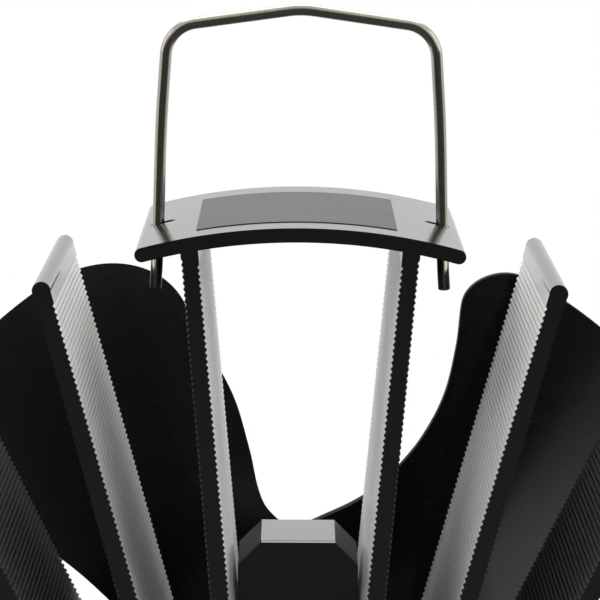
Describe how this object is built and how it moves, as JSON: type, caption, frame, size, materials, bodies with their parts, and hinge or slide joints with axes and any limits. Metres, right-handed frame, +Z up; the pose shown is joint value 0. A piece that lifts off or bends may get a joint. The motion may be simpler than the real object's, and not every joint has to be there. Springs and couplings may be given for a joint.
{
  "type": "stove fan",
  "caption": "Heat-powered stove fan: foot stand, thermoelectric module, fanned finned heat sink with an arched top and wire handle, small motor and pitched blades.",
  "frame": {"origin": "middle of the stand's foot face, on the surface that the fan stands on, halfway along the depth of the heat sink", "axes": "+Z up, -Y towards the blades and the room, +Y towards the back from which the picture is taken, X across the fins"},
  "size_m": [0.1768, 0.091, 0.2565],
  "materials": {
    "black_anodised": "satin black anodised extrusion",
    "black_blade": "gloss black coated sheet",
    "black_moulded": "satin heat-resistant moulding",
    "stainless_wire": "polished stainless wire",
    "zinc_steel": "zinc-plated steel",
    "brass": "turned brass",
    "copper": "enamelled copper",
    "alumina": "fired white ceramic",
    "bismuth": "sawn semiconductor",
    "graphite": "pressed graphite sheet",
    "white_silicone": "matt silicone bead",
    "red_silicone": "satin silicone sleeve",
    "black_silicone": "satin silicone sleeve",
    "ferrite": "sintered ferrite",
    "label_film": "dark grey printed film, left bare"
  },
  "bodies": {
    "frame": {"base_stand": "black_anodised", "hot_side_pad": "graphite", "module_hot_plate": "alumina", "module_pellet_chain": "bismuth", "module_seal": "white_silicone", "module_cold_plate": "alumina", "cold_side_pad": "graphite", "heat_sink": "black_anodised", "clamp_screw_left": "zinc_steel", "clamp_screw_right": "zinc_steel", "spring_washer_left": "zinc_steel", "spring_washer_right": "zinc_steel", "insulating_bush_left": "alumina", "insulating_bush_right": "alumina", "motor_housing": "black_moulded", "housing_cover": "black_moulded", "housing_screw_left": "zinc_steel", "housing_screw_right": "zinc_steel", "cover_screw_left": "zinc_steel", "cover_screw_right": "zinc_steel", "motor_can": "zinc_steel", "motor_magnet_upper": "ferrite", "motor_magnet_lower": "ferrite", "motor_end_cap": "black_moulded", "motor_terminal_left": "brass", "motor_terminal_right": "brass", "motor_brush_left": "copper", "motor_brush_right": "copper", "front_bearing": "brass", "rear_bearing": "brass", "rating_label": "label_film", "lead_red": "red_silicone", "lead_black": "black_silicone", "lead_grommet": "black_silicone"},
    "rotor": {"rotor_blades": "black_blade", "hub": "brass", "hub_grub_screw": "zinc_steel", "hub_nut": "brass", "motor_shaft": "zinc_steel", "armature_core": "zinc_steel", "armature_winding_1": "copper", "armature_winding_2": "copper", "armature_winding_3": "copper", "commutator": "copper"},
    "handle": {"wire_handle": "stainless_wire"}
  },
  "joints": [
    {"name": "rotor_spin", "type": "hinge", "parent": "frame", "child": "rotor", "pos_m": [0, -0.0462, 0.1091], "axis": [0, 1, 0], "continuous": true},
    {"name": "handle_slide", "type": "slide", "parent": "frame", "child": "handle", "axis": [0, 0, 1], "range_m": [-0.03, 0.002]}
  ]
}
